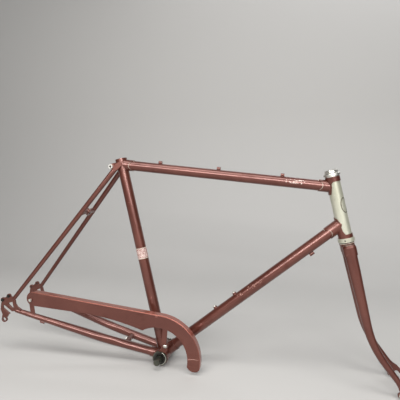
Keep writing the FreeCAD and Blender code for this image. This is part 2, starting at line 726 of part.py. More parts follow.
def fork_end_plate(side):
    """One fork end: a flat plate with an open axle slot and an eyelet behind it."""
    place, heading, _ = blade_point(blade_point(0)[2])
    run = vec(heading.x, 0, heading.z).normalize()
    ahead = vec(-run.z, 0, run.x)
    axle = vec(place.x, 0, place.z) + run * fork_axle_beyond
    low, high = both_sides(front_spacing / 2, front_spacing / 2 + fork_end_thickness, side)

    def local(points):
        corners = []
        for forward, along in points:
            spot = axle + ahead * forward + run * along
            corners.append((spot.x, spot.z))
        return corners

    plate = side_plate(local([(-6, -38), (6, -38), (8, -24), (12, -13), (13, 2), (10, 12), (-10, 12),
                              (-13, 2), (-11, -14), (-8, -24)]), low, high)
    eye = local([(fork_eyelet_place[0], -fork_eyelet_place[1])])[0]
    tip = local([(2.0, 34.0)])[0]
    slot = stadium((axle.x, axle.z), tip, fork_slot / 2, low - 1, high + 1)
    plate = plate.fuse(cross_rod(eye[0], eye[1], low, high, eyelet_radius))
    plate = plate.cut([slot, cross_rod(eye[0], eye[1], low, high, eyelet_hole)])
    return plate.removeSplitter(), eye, low, high


def make_fork():
    seat_to_top = lower_stack + head_below + head_spacing + head_above + steerer_above
    steer_foot = -crown_height + 2.0
    brake_hole = rod(vec(-40, 0, -brake_hole_drop), vec(40, 0, -brake_hole_drop), brake_bolt_radius)
    steerer = pipe(vec(0, 0, steer_foot), vec(0, 0, seat_to_top), steerer_radius, steerer_bore)
    save("steerer", placed(steerer.cut(brake_hole), FORK))

    hub = rod(vec(0, 0, -crown_height), vec(0, 0, 0), crown_hub_radius)
    shoulder_y = blade_spread_top + blade_wide + crown_socket_wall
    bridge = Part.makeBox(22, 2 * blade_spread_top, crown_height - 7,
                          vec(-11, -blade_spread_top, -crown_height + 3))
    solids = [bridge]
    cuts = [rod(vec(0, 0, steer_foot), vec(0, 0, 5), steerer_radius), brake_hole]
    for name, side in EACH_SIDE:
        blade = blade_loft(side, 0)
        shell = blade.cut(blade_loft(side, blade_wall))
        end_plate = fork_end_plate(side)[0]
        save(name + "_fork_blade", placed(shell.cut(end_plate), FORK))
        save(name + "_fork_end", placed(end_plate, FORK))
        top = blade_point(0)[0]
        heading = blade_point(0)[1]
        top.y *= side
        heading.y *= side
        wide = blade_wide + crown_socket_wall
        deep = blade_long + crown_socket_wall
        foot = top + heading * crown_height
        socket = Part.makeLoft([ellipse_wire(top, heading, wide - 2.5, deep - 2.5),
                                ellipse_wire(top + heading * 5.0, heading, wide, deep),
                                ellipse_wire(foot, heading, wide, deep)], True, True)
        tang_foot = foot + heading * tang_length
        tang = Part.makeLoft([ellipse_wire(foot, heading, wide, deep),
                              ellipse_wire(tang_foot, heading, wide, deep)], True, True)
        wedge_points = [vec(-9, 0, -crown_height + 1), vec(9, 0, -crown_height + 1),
                        vec(1.2, 0, -crown_height - tang_length), vec(-1.2, 0, -crown_height - tang_length)]
        wedge = Part.Face(Part.makePolygon(wedge_points + wedge_points[:1]))
        wedge = wedge.extrude(vec(0, side * 80, 0))
        outer_half = Part.makeBox(80, 40, 80, vec(-40, top.y if side > 0 else top.y - 40, -80))
        solids += [socket, tang.common(wedge).common(outer_half)]
        cuts.append(blade)
    crown = hub.fuse(solids).cut(cuts)
    crown = max(crown.Solids, key=lambda piece: piece.Volume)
    save("fork_crown", placed(crown, FORK))

    screws = []
    for _, side in EACH_SIDE:
        _, eye, low, high = fork_end_plate(side)
        outside = high if side > 0 else low
        shank = cross_rod(eye[0], eye[1], low, high, eyelet_hole)
        head_faces = sorted((outside, outside + side * m5_head_height))
        head = cross_rod(eye[0], eye[1], *head_faces, m5_head_radius)
        screws.append(placed(shank.fuse(head).removeSplitter(), FORK))
    save("fork_eyelet_screws", Part.makeCompound(screws))


def make_rear_screws():
    screws = []
    for _, side in EACH_SIDE:
        low, high = both_sides(rear_spacing / 2, rear_spacing / 2 + dropout_thickness, side)
        outside = high if side > 0 else low
        for x, z in eyelets_rear:
            px, pz = rear_axle.x + x, rear_axle.z + z
            shank = cross_rod(px, pz, low, high, eyelet_hole)
            head_faces = sorted((outside, outside + side * m5_head_height))
            head = cross_rod(px, pz, *head_faces, m5_head_radius)
            screws.append(shank.fuse(head).removeSplitter())
    save("rear_eyelet_screws", Part.makeCompound(screws))


def make_fittings():
    down_up = vec(-down_run.z, 0, down_run.x)
    bosses = []
    screws = []
    for distance in bottle_boss_places:
        foot = down_run * distance + down_up * (down_tube_radius - 2.0)
        rim = down_run * distance + down_up * (down_tube_radius + boss_height)
        bosses.append(rod(foot, rim, boss_radius).cut([down_solid, rod(foot, rim, m5_radius)]))
        surface = down_run * distance + down_up * (down_tube_radius + 0.3)
        shank = rod(surface, rim, m5_radius)
        head = rod(rim, rim + down_up * m5_head_height, m5_head_radius)
        screws.append(shank.fuse(head).removeSplitter())
    save("bottle_bosses", Part.makeCompound(bosses))
    save("bottle_boss_screws", Part.makeCompound(screws))

    guides = []
    for share in guide_shares:
        x = seat_joint.x + share * top_tube_length
        height = seat_joint.z + top_tube_radius + guide_bore + 0.3
        start = vec(x - guide_length / 2, 0, height)
        end = vec(x + guide_length / 2, 0, height)
        guides.append(pipe(start, end, guide_radius, guide_bore).cut(top_solid))
    save("top_tube_cable_guides", Part.makeCompound(guides))

    under = down_up * -(down_tube_radius + 3.0)
    stop_place = down_length - down_stop_back
    start = down_run * (stop_place - stop_length / 2) + under
    end = down_run * (stop_place + stop_length / 2) + under
    stop = rod(start, end, stop_radius)
    web = rod(down_run * stop_place + under, down_run * stop_place, 3.0)
    bores = [rod(start + down_run * 3.0, end, stop_bore), rod(start, end, cable_bore), down_solid]
    save("down_tube_cable_stop", stop.fuse(web).cut(bores).removeSplitter())

    sections = chainstay_sections(-1, 0)
    run = (sections[-1][0] - sections[-2][0]).normalize()
    bend = vec(chainstay_bend[0], -chainstay_bend[1], chainstay_bend[2])
    middle = bend + run * ((stay_stop_x - bend.x) / run.x)
    under = vec(0, 0, -9.6)
    start = middle - run * (stop_length / 2) + under
    end = middle + run * (stop_length / 2) + under
    stop = rod(start, end, stop_radius - 0.4)
    web = rod(middle + under, middle, 2.6)
    bores = [rod(start + run * 3.0, end, stop_bore), rod(start, end, cable_bore), chainstay_solid(-1)]
    save("chainstay_cable_stop", stop.fuse(web).cut(bores).removeSplitter())


def guard_outline(y):
    """The guard's face: a long straight blade that curls down round the chainwheel."""
    cx, cz = guard_centre
    top = cz + guard_outer
    rear_low = top - 2 * guard_rear_radius

    def on_circle(angle, radius):
        spot = polar(angle, radius)
        return vec(cx + spot.x, y, cz + spot.z)

    tip_out = on_circle(guard_tip_angle, guard_outer)
    tip_in = on_circle(guard_tip_angle, guard_inner)
    tip_low = on_circle(guard_tip_angle - 5.5, (guard_outer + guard_inner) / 2 + 3.0)
    cusp = on_circle(guard_cusp_angle, guard_inner)
    top_rear = vec(guard_rear_x, y, top)
    low_rear = vec(guard_rear_x, y, rear_low)
    shoulder = vec(-228.0, y, rear_low + 5.5)
    sag = vec(-118.0, y, rear_low + 2.5)
    edges = [Part.LineSegment(top_rear, vec(cx, y, top)),
             Part.Arc(vec(cx, y, top), on_circle(40, guard_outer), tip_out),
             Part.Arc(tip_out, tip_low, tip_in),
             Part.Arc(tip_in, on_circle(60, guard_inner), cusp),
             Part.Arc(cusp, sag, shoulder),
             Part.LineSegment(shoulder, low_rear),
             Part.Arc(low_rear, vec(guard_rear_x - guard_rear_radius, y, top - guard_rear_radius), top_rear)]
    return Part.Wire([edge.toShape() for edge in edges])


def make_chainguard():
    inner_face = guard_face + guard_sheet
    plate = Part.Face(guard_outline(guard_face)).extrude(vec(0, guard_sheet, 0))
    cx, cz = guard_centre
    top = cz + guard_outer
    lip_end = guard_face + guard_flange
    lip_corner = vec(guard_rear_x, guard_face, top - guard_sheet)
    lip = Part.makeBox(cx - guard_rear_x, guard_flange, guard_sheet, lip_corner)
    curl = cross_ring(cx, cz, guard_face, lip_end, guard_outer, guard_outer - guard_sheet)
    tip = polar(guard_tip_angle, guard_outer)
    far = 2 * guard_outer
    keep = side_plate([(cx, cz), (cx, cz + far), (cx + far, cz + far), (cx + far, cz + far * tip.z / tip.x)],
                      guard_face, lip_end)
    sx, sz = guard_rear_screw
    guard = plate.fuse([lip, curl.common(keep)])
    guard = guard.cut(cross_rod(sx, sz, guard_face, inner_face, m5_radius))
    save("chainguard", guard.removeSplitter())

    strap_out = inner_face
    strap_in = strap_out + strap_thickness
    foot = vec(sx + 11.0, 0, 52.0)
    strap = stadium((sx, sz), (foot.x, foot.z), strap_width / 2, strap_out, strap_in)
    strap = strap.cut([cross_rod(sx, sz, strap_out, strap_in, m5_radius), chainstay_solid(-1)])
    save("guard_rear_strap", max(strap.Solids, key=lambda piece: piece.CenterOfMass.z))
    washer = cross_ring(sx, sz, guard_face - washer_thickness, guard_face, washer_radius, m5_radius)
    save("guard_rear_washer", washer)
    head_base = guard_face - washer_thickness
    shank = cross_rod(sx, sz, head_base, strap_in + 4.0, m5_radius)
    head = cross_rod(sx, sz, head_base - m5_head_height, head_base, m5_head_radius)
    slot = Part.makeBox(12, 1.2, 1.2, vec(sx - 6, head_base - m5_head_height, sz - 0.6))
    save("guard_rear_screw", head.fuse(shank).cut(slot).removeSplitter())
    nut = cross_ring(sx, sz, strap_in, strap_in + 4.0, 4.6, m5_radius)
    save("guard_rear_nut", nut)

    half = shell_width / 2
    fx, fz = guard_front_screw
    arm_out, arm_in = -half - arm_thickness, -half
    arm = cross_rod(0, 0, arm_out, arm_in, cup_flange_radius)
    arm = arm.fuse(stadium((fx * 0.35, fz * 0.35), (fx, fz), arm_tip_radius, arm_out, arm_in))
    eye_cut = cross_rod(0, 0, arm_out, arm_in, shell_bore)
    arm = arm.cut([eye_cut, cross_rod(fx, fz, arm_out, arm_in, m5_radius)])
    save("guard_front_arm", arm.removeSplitter())

    tab_out = arm_out - strap_thickness
    shelf_z = fz + 16.0
    strap_x = fx + 2.0
    left, right = strap_x - strap_width / 2, strap_x + strap_width / 2
    tab = stadium((fx, fz), (strap_x, shelf_z - 4), strap_width / 2, tab_out, arm_out)
    tab = tab.common(side_plate([(-40, 0), (60, 0), (60, shelf_z), (-40, shelf_z)], tab_out, arm_out))
    corner = vec(left, inner_face, shelf_z - strap_thickness)
    shelf = Part.makeBox(right - left, arm_out - inner_face, strap_thickness, corner)
    riser = Part.makeBox(right - left, strap_thickness, 50.0, corner)
    strap = tab.fuse([shelf, riser]).cut(cross_rod(fx, fz, tab_out, arm_out, m5_radius))
    save("guard_front_strap", strap.removeSplitter())
    shank = cross_rod(fx, fz, tab_out, arm_in + 4.0, m5_radius)
    dome = Part.makeSphere(7.2, vec(fx, tab_out + 4.0, fz))
    dome = dome.common(cross_rod(fx, fz, tab_out - 5.0, tab_out, 6.0))
    save("guard_front_screw", shank.fuse(dome).removeSplitter())
    save("guard_front_nut", cross_ring(fx, fz, arm_in, arm_in + 4.0, 4.6, m5_radius))


os.makedirs("parts", exist_ok=True)
make_main_tubes()
make_head_lugs()
make_seat_lug()
make_bracket_shell()
make_rear_triangle()
make_bottom_bracket()
make_headset()
make_fork()
make_rear_screws()
make_fittings()
make_chainguard()
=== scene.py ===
import bmesh
import bpy
import json
import math
from mathutils import Matrix, Vector


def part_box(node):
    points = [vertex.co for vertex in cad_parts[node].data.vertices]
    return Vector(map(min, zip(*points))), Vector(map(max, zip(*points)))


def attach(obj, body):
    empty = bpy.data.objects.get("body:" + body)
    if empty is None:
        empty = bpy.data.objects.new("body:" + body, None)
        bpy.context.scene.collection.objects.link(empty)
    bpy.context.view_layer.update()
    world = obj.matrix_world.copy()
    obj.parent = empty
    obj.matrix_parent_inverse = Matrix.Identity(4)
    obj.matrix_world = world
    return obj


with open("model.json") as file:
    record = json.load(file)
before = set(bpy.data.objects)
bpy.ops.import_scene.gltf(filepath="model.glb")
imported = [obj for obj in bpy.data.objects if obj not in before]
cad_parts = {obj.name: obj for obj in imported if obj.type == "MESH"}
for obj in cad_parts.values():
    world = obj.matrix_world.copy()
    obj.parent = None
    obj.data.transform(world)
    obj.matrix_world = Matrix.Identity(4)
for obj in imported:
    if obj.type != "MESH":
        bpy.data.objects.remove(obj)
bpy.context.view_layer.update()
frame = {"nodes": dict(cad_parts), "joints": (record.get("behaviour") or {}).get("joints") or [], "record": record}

nodes = frame["nodes"]

# The camera stands about a metre off the right side, level with the top tube and a little ahead
# of the middle. It leans over by the same few degrees that the bicycle frame noses down.
lens_turn, lens_dip, lens_roll = math.radians(12.07), math.radians(5.28), math.radians(5.62)
ahead = Vector((-math.sin(lens_turn) * math.cos(lens_dip), math.cos(lens_turn) * math.cos(lens_dip),
                -math.sin(lens_dip)))
level = Vector((math.cos(lens_turn), math.sin(lens_turn), 0.0))
upright = level.cross(ahead)
lens_right = level * math.cos(lens_roll) + upright * math.sin(lens_roll)
lens_up = upright * math.cos(lens_roll) - level * math.sin(lens_roll)
camera = bpy.data.objects.new("camera", bpy.data.cameras.new("camera"))
bpy.context.scene.collection.objects.link(camera)
camera.data.sensor_width = 36.0
camera.data.lens = 35.937
camera.data.shift_x = -0.007
camera.data.shift_y = -0.00625
lens_place = Vector((0.2783, -1.0020, 0.5235))
camera.matrix_world = Matrix((
    (lens_right.x, lens_up.x, -ahead.x, lens_place.x),
    (lens_right.y, lens_up.y, -ahead.y, lens_place.y),
    (lens_right.z, lens_up.z, -ahead.z, lens_place.z),
    (0, 0, 0, 1)))
bpy.context.scene.camera = camera

# A pale painted floor that sweeps up into a wall behind, as in a studio. It is tipped so that the
# bicycle frame rests on its bottom bracket and on the two fork ends, nose down.
rest_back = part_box("bottom_bracket_lockring")[0].z
rest_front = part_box("right_fork_end")
floor_slope = math.atan2(rest_front[0].z - rest_back, (rest_front[0].x + rest_front[1].x) / 2)
floor_back, bend_radius = 0.75, 0.9
sweep = [(-5.0, 0.0), (-1.0, 0.0), (floor_back, 0.0)]
for bend in range(6, 91, 6):
    turn = math.radians(bend)
    sweep.append((floor_back + bend_radius * math.sin(turn), bend_radius - bend_radius * math.cos(turn)))
sweep += [(floor_back + bend_radius, 3.0), (floor_back + bend_radius, 6.0)]
stage_mesh = bmesh.new()
rows = []
for x in (-6.0, -2.0, 0.0, 2.0, 6.0):
    rows.append([stage_mesh.verts.new((x, y, z)) for y, z in sweep])
for one, two in zip(rows, rows[1:]):
    for i in range(len(sweep) - 1):
        stage_mesh.faces.new((one[i], two[i], two[i + 1], one[i + 1])).smooth = True
floor_data = bpy.data.meshes.new("studio_floor")
stage_mesh.to_mesh(floor_data)
studio_floor = bpy.data.objects.new("studio_floor", floor_data)
bpy.context.scene.collection.objects.link(studio_floor)
studio_floor.rotation_euler = (0, -floor_slope, 0)
floor_gap = 0.0004
studio_floor.location = (0, 0, rest_back - floor_gap)
floor_paint = bpy.data.materials.new("floor_paint")
floor_paint.use_nodes = True
floor_shader = floor_paint.node_tree.nodes["Principled BSDF"]
floor_shader.inputs["Base Color"].default_value = (0.46, 0.455, 0.445, 1)
floor_shader.inputs["Roughness"].default_value = 0.75
floor_data.materials.append(floor_paint)


# Four soft lights: one over the bicycle frame, a low wide strip in front that draws a long highlight
# down every tube, a weak fill from the right, and a weak one behind. The rest is dim room light.
def softbox(name, place, aim, wide, high, watts, tint):
    """A rectangular diffused studio light."""
    lamp = bpy.data.lights.new(name, "AREA")
    lamp.shape = "RECTANGLE"
    lamp.size, lamp.size_y = wide, high
    lamp.energy = watts
    lamp.color = tint
    holder = bpy.data.objects.new(name, lamp)
    bpy.context.scene.collection.objects.link(holder)
    holder.location = place
    holder.rotation_euler = (Vector(aim) - Vector(place)).to_track_quat("-Z", "Y").to_euler()


softbox("overhead_light", (0.1, -0.75, 2.1), (0.1, 0.0, 0.2), 2.6, 0.85, 38, (1.0, 0.985, 0.96))
softbox("front_light", (0.0, -2.3, 1.25), (0.05, 0.0, 0.25), 3.2, 0.42, 88, (1.0, 0.98, 0.96))
softbox("fill_light", (2.0, -1.6, 0.9), (0.2, 0.0, 0.25), 1.2, 1.4, 4, (1.0, 0.97, 0.94))
softbox("back_light", (0.3, 1.5, 1.9), (0.1, 0.0, 0.2), 2.4, 0.6, 12, (0.97, 0.98, 1.0))
room_air = bpy.data.worlds.new("room_air")
room_air.use_nodes = True
room_air.node_tree.nodes["Background"].inputs["Color"].default_value = (0.80, 0.84, 0.88, 1)
room_air.node_tree.nodes["Background"].inputs["Strength"].default_value = 0.13
bpy.context.scene.world = room_air
bpy.context.scene.view_settings.view_transform = "Standard"


# The three main tubes and the stays are drawn steel, brazed up and sprayed with a metallic
# red-brown enamel under a thin clear coat, which has faded, chipped and been scratched in use.
class Spread:
    """A value that varies over a surface: one socket of a material, with arithmetic."""

    def __init__(self, tree, socket):
        self.tree, self.socket = tree, socket

    def node(self, kind, settings=None, sockets=None, output=0):
        made = self.tree.nodes.new(kind)
        for key, value in (settings or {}).items():
            setattr(made, key, value)
        for key, value in (sockets or {}).items():
            if isinstance(value, Spread):
                self.tree.links.new(value.socket, made.inputs[key])
            else:
                made.inputs[key].default_value = value
        return Spread(self.tree, made.outputs[output])

    def maths(self, operation, one, two):
        return self.node("ShaderNodeMath", {"operation": operation}, {0: one, 1: two})

    def __add__(self, other):
        return self.maths("ADD", self, other)

    def __sub__(self, other):
        return self.maths("SUBTRACT", self, other)

    def __rsub__(self, other):
        return self.maths("SUBTRACT", other, self)

    def __mul__(self, other):
        return self.maths("MULTIPLY", self, other)

    __radd__ = __add__
    __rmul__ = __mul__

    def over(self, low, high):
        """1 where the value is above high, 0 below low, and smooth between."""
        return self.node("ShaderNodeMapRange", {"interpolation_type": "SMOOTHSTEP"},
                         {"Value": self, "From Min": low, "From Max": high})

    def tint(self, base, top):
        """Colour base where the value is 0 and top where it is 1."""
        colours = [c if isinstance(c, Spread) else (*c, 1) for c in (base, top)]
        return self.node("ShaderNodeMix", {"data_type": "RGBA"},
                         {0: self, 6: colours[0], 7: colours[1]}, 2)

    def stretched(self, x, y, z):
        return self.node("ShaderNodeVectorMath", {"operation": "MULTIPLY"}, {0: self, 1: (x, y, z)})

    def noise(self, scale, detail=3.0, rough=0.5, warp=0.0):
        return self.node("ShaderNodeTexNoise", None,
                         {"Vector": self, "Scale": scale, "Detail": detail, "Roughness": rough,
                          "Distortion": warp})

    def part(self, axis):
        return self.node("ShaderNodeSeparateXYZ", None, {0: self}, axis)


def new_finish(name):
    """An empty material: its shader, and the place on the object in metres."""
    finish = bpy.data.materials.new(name)
    finish.use_nodes = True
    tree = finish.node_tree
    shader = tree.nodes["Principled BSDF"]
    place = Spread(tree, tree.nodes.new("ShaderNodeTexCoord").outputs["Object"])
    return finish, shader, place


def feed(shader, height=None, depth=0.0002, strength=0.5, **sockets):
    """Links or sets the shader's sockets, and adds a bump from a height."""
    tree = shader.id_data
    for key, value in sockets.items():
        socket = shader.inputs[key.replace("_", " ")]
        if isinstance(value, Spread):
            tree.links.new(value.socket, socket)
        else:
            socket.default_value = value
    if height is not None:
        bump = height.node("ShaderNodeBump", None, {"Height": height, "Distance": depth,
                                                    "Strength": strength})
        tree.links.new(bump.socket, shader.inputs["Normal"])


def enamel(name, body, faded, bare, wear, corner=None):
    """Sprayed enamel: flake, faded patches, hair scratches, small chips and dust. A corner gives the distance in
    from a rolled edge,
    where the sheet turns over: the colour there is lighter, a painted highlight of the edge over paint that has
    thinned."""
    finish, shader, place = new_finish(name)
    patches = place.noise(7.0, 4.0, 0.6).over(0.38, 0.72)
    flake = place.noise(1600.0, 1.0).over(0.48, 0.80)
    grime = place.noise(30.0, 5.0, 0.65, 0.4).over(0.52, 0.80)
    bends = place.node("ShaderNodeVectorMath", {"operation": "SCALE"},
                       {0: place.noise(5.0, 2.0, 0.5), "Scale": 0.05})
    path = place.node("ShaderNodeVectorMath", {"operation": "ADD"}, {0: place, 1: bends})
    scuffs = 0.0
    for lean in ((4.0, 260.0, 190.0), (70.0, 230.0, 22.0)):
        hairs = path.stretched(*lean).noise(1.0, 2.0, 0.6).over(0.70, 0.735)
        scuffs = hairs * place.noise(19.0, 3.0).over(0.50, 0.62) + scuffs
    chips = place.noise(190.0, 4.0, 0.7).over(0.73 - 0.05 * wear, 0.75 - 0.05 * wear)
    chips = chips * place.noise(11.0, 2.0).over(0.42, 0.60)
    colour = patches.tint(body, faded)
    colour = (flake * 0.28).tint(colour, [min(1.0, c * 2.0) for c in faded])
    colour = (grime * 0.40).tint(colour, [c * 0.35 for c in body])
    colour = (scuffs * (0.25 + 0.3 * wear)).tint(colour, [min(1.0, c * 2.4 + 0.06) for c in faded])
    colour = (chips * 0.9).tint(colour, bare)
    rough = 0.30 + patches * 0.06 + grime * 0.20 + chips * 0.22 + scuffs * 0.10
    height = place.noise(420.0, 2.0) * 0.10 - chips * 0.8 - scuffs * 0.2
    if corner:
        inward = corner(place)
        # Painted highlight: within 2 mm of the rolled edge the colour turns lighter, where the turned sheet
        # catches the light.
        colour = (1 - inward.over(0.0, 0.0020)).tint(colour, [c * 2.2 for c in faded])
        height = height + inward.over(-0.0012, 0.0026) * 60
    feed(shader, height, 0.0001, 0.45, Base_Color=colour, Roughness=rough,
         Coat_Weight=0.85 - grime * 0.55 - chips * 0.30)
    shader.inputs["Metallic"].default_value = 0.55
    shader.inputs["Coat Roughness"].default_value = 0.27
    return finish


def dress(names, finish, edge):
    """Gives carried-over parts their finish, smooth faces and slightly broken edges."""
    for name in names:
        part = nodes[name]
        for holder in part.material_slots:
            holder.material = finish
        part.data.polygons.foreach_set("use_smooth", [True] * len(part.data.polygons))
        weld = part.modifiers.new("weld", "WELD")
        weld.merge_threshold = 0.00001
        if edge:
            bevel = part.modifiers.new("broken_edges", "BEVEL")
            bevel.width = edge
            bevel.segments = 2
            bevel.limit_method = "ANGLE"
            bevel.angle_limit = math.radians(32)
            bevel.harden_normals = True
        normals = part.modifiers.new("even_normals", "WEIGHTED_NORMAL")
        normals.keep_sharp = True


enamel_colour, enamel_faded = (0.098, 0.0205, 0.0115), (0.130, 0.034, 0.021)
old_rust = (0.045, 0.033, 0.030)
red_brown = enamel("red_brown_enamel", enamel_colour, enamel_faded, old_rust, 0.5)
dress(["top_tube", "down_tube", "seat_tube"], red_brown, 0)
dress(["right_chainstay", "left_chainstay", "right_seatstay", "left_seatstay"], red_brown, 0)

# Head tube: the same steel, sprayed a greenish cream as a contrast panel between the two lugs. A plain
# oval is lined in dark ink a little to the right of its front, and has partly worn away.
cream = enamel("cream_enamel", (0.45, 0.45, 0.35), (0.54, 0.54, 0.44), (0.16, 0.11, 0.08), 0.6)
dress(["head_tube"], cream, 0)
steering = next(joint for joint in frame["joints"] if joint["name"] == "steering")
crown_seat, head_axis = Vector(steering["pos_m"]), Vector(steering["axis"])
head_front = Vector((head_axis.z, 0, -head_axis.x))
head_tube_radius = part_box("head_tube")[1].y


def off_side(front, turn):
    """A direction out of a tube: 0 points to the rider's right, and a quarter turn to its front."""
    return front * math.sin(turn) - Vector((0, math.cos(turn), 0))


def piece(name, shape, finish, body):
    """A finished mesh that rides on a body and takes the finish it is given."""
    data = bpy.data.meshes.new(name)
    shape.to_mesh(data)
    shape.free()
    data.materials.append(finish)
    made = bpy.data.objects.new(name, data)
    bpy.context.scene.collection.objects.link(made)
    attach(made, body)
    return made


def skin(name, rows, finish, body, closed=False):
    """A thin painted or pressed skin through rows of points, riding on a body."""
    sheet = bmesh.new()
    grid = [[sheet.verts.new(point) for point in row] for row in rows]
    if closed:
        grid.append(grid[0])
    for one, two in zip(grid, grid[1:]):
        for i in range(len(one) - 1):
            sheet.faces.new((one[i], one[i + 1], two[i + 1], two[i])).smooth = True
    bmesh.ops.recalc_face_normals(sheet, faces=sheet.faces)
    return piece(name, sheet, finish, body)


def ink(name, colour, second, lost):
    """A thin transfer or lining: two colours in specks, rubbed away in places."""
    finish, shader, place = new_finish(name)
    specks = place.noise(420.0, 3.0, 0.7).over(0.46, 0.54)
    rubbed = place.noise(170.0, 4.0, 0.7).over(0.70 - lost, 0.74 - lost)
    feed(shader, place.noise(300.0, 2.0), 0.00005, 0.3, Base_Color=specks.tint(colour, second),
         Roughness=0.45 + specks * 0.15, Alpha=1 - rubbed)
    return finish


badge_ink = ink("badge_ink", (0.045, 0.042, 0.028), (0.12, 0.10, 0.065), 0.05)
ink_lift = 0.00012
badge_height, badge_half_long, badge_half_wide, badge_line = 0.092, 0.0165, 0.0085, 0.0023
badge_turn = math.radians(50)
rows = []
for step in range(72):
    turn = 2 * math.pi * step / 72
    row = []
    for grow in (0.0, badge_line):
        along = (badge_half_long + grow) * math.sin(turn)
        round_front = badge_turn + (badge_half_wide + grow) * math.cos(turn) / head_tube_radius
        out = off_side(head_front, round_front) * (head_tube_radius + ink_lift)
        row.append(crown_seat + head_axis * (badge_height + along) + out)
    rows.append(row)
skin("badge_outline", rows, badge_ink, "frame", closed=True)

# Lugs, bracket shell, caps, bridges and dropouts: pressed and forged steel, brazed to the tubes and
# painted with them. A thin cream line is drawn on the tube along each lug's shaped edge.
dress(["upper_head_lug", "lower_head_lug", "seat_lug", "bottom_bracket_shell", "right_seatstay_cap",
       "left_seatstay_cap", "brake_bridge", "chainstay_bridge", "right_rear_dropout",
       "left_rear_dropout", "bottle_bosses", "top_tube_cable_guides", "down_tube_cable_stop",
       "chainstay_cable_stop"], red_brown, 0.0004)
mounts = {mount["name"]: mount for mount in frame["record"]["mounts"]}
top_low, top_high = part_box("top_tube")
top_radius = top_high.y
top_height = (top_low.z + top_high.z) / 2
down_axis = Vector(mounts["down_tube_casing_stop"]["axis"])
down_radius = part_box("down_tube")[1].y
head_joint = crown_seat + head_axis * ((top_height - crown_seat.z) / head_axis.z)
seat_axis = Vector(mounts["seat_post_bore"]["axis"])
seat_joint = seat_axis * (top_height / seat_axis.z)
across = (crown_seat - down_axis * crown_seat.dot(down_axis)).length
slant = head_axis.dot(down_axis)
down_joint = crown_seat + head_axis * (across / math.sqrt(1 - slant * slant))
lining_ink = ink("lining_ink", (0.60, 0.52, 0.43), (0.70, 0.62, 0.52), 0.06)
lug_scallop, lining_gap, lining_width = 0.011, 0.0002, 0.0009


def lining(name, start, run, reach, radius):
    """A painted line beside a socket edge that has a point above and below and a hollow at each side."""
    rise = Vector((-run.z, 0, run.x))
    rows = []
    for step in range(96):
        turn = 2 * math.pi * step / 96
        height = radius * math.sin(turn)
        edge = reach - math.sqrt(max(0.0, lug_scallop ** 2 - height ** 2))
        base = start + rise * height + Vector((0, radius * math.cos(turn), 0))
        lift = (rise * math.sin(turn) + Vector((0, math.cos(turn), 0))) * 0.0001
        rows.append([base + lift + run * (edge + gap) for gap in (lining_gap, lining_gap + lining_width)])
    return skin(name, rows, lining_ink, "frame", closed=True)


head_lug_reach, seat_lug_reach, down_lug_reach = 0.038, 0.033, 0.044
lining("top_lug_lining", head_joint, Vector((-1, 0, 0)), head_lug_reach, top_radius)
lining("seat_lug_lining", seat_joint, Vector((1, 0, 0)), seat_lug_reach, top_radius)
lining("down_lug_lining", down_joint, -down_axis, down_lug_reach, down_radius)

# Seat tube band: a paper transfer wrapped round the tube a little above half way, cream specked with
# pink and worn thin. A thin cream line is drawn round the tube along each of its edges.
band_ink = ink("band_transfer", (0.62, 0.50, 0.46), (0.20, 0.07, 0.06), 0.03)
band_foot, band_width, band_line = 0.262, 0.026, 0.0013
seat_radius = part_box("seat_tube")[1].y
seat_front = Vector((seat_axis.z, 0, -seat_axis.x))


def wrapped(name, line, radius, span, turns, counts, finish, body):
    """A skin lying on a round tube, whose line is a foot, an axis and a front. The span is along the
    axis, the turns are in degrees round it, and the counts are of steps round it and along it."""
    foot, axis, front = line
    whole = turns[1] - turns[0] == 360
    rows = []
    for step in range(counts[0] if whole else counts[0] + 1):
        turn = math.radians(turns[0] + (turns[1] - turns[0]) * step / counts[0])
        edge = foot + off_side(front, turn) * radius
        rows.append([edge + axis * (span[0] + (span[1] - span[0]) * i / counts[1])
                     for i in range(counts[1] + 1)])
    return skin(name, rows, finish, body, closed=whole)


seat_line = (Vector((0, 0, 0)), seat_axis, seat_front)
band_turns = (-160, 160)
wrapped("seat_tube_band", seat_line, seat_radius + ink_lift, (band_foot, band_foot + band_width),
        band_turns, (64, 6), band_ink, "frame")
for name, foot in (("band_lower_line", 0.2605), ("band_upper_line", 0.2882)):
    wrapped(name, seat_line, seat_radius + ink_lift + 0.00002, (foot, foot + band_line), band_turns,
            (64, 1), lining_ink, "frame")

# Worn marks: flecks of an old paper transfer are left on the side of the top tube near the head, and
# the enamel on the side of the down tube is scuffed pale.
fleck_ink = ink("worn_transfer", (0.52, 0.38, 0.34), (0.62, 0.50, 0.45), 0.26)
scuff_ink = ink("scuffed_enamel", (0.36, 0.17, 0.13), (0.46, 0.27, 0.22), 0.31)
down_rise = Vector((-down_axis.z, 0, down_axis.x))
top_line = (Vector((0, 0, top_height)), Vector((1, 0, 0)), Vector((0, 0, 1)))
down_line = (Vector((0, 0, 0)), down_axis, down_rise)
wrapped("top_tube_flecks", top_line, top_radius + ink_lift, (0.268, 0.313), (-6, 38), (14, 10),
        fleck_ink, "frame")
wrapped("down_tube_scuffs", down_line, down_radius + ink_lift, (0.262, 0.338), (2, 48), (14, 18),
        scuff_ink, "frame")

# Brazing: where a boss, a cable loop, a stop or a bridge meets a tube the filler metal leaves a small
# rounded bead all round, painted over with the rest.
boss_places, down_stop_place, loop_places = (0.193, 0.257), 0.476, (-0.058, 0.098, 0.258)
boss_foot_radius, stop_foot_radius, bridge_foot_radius = 0.0051, 0.0040, 0.0066
loop_foot_long, loop_foot_wide = 0.0048, 0.0030
beads = bmesh.new()


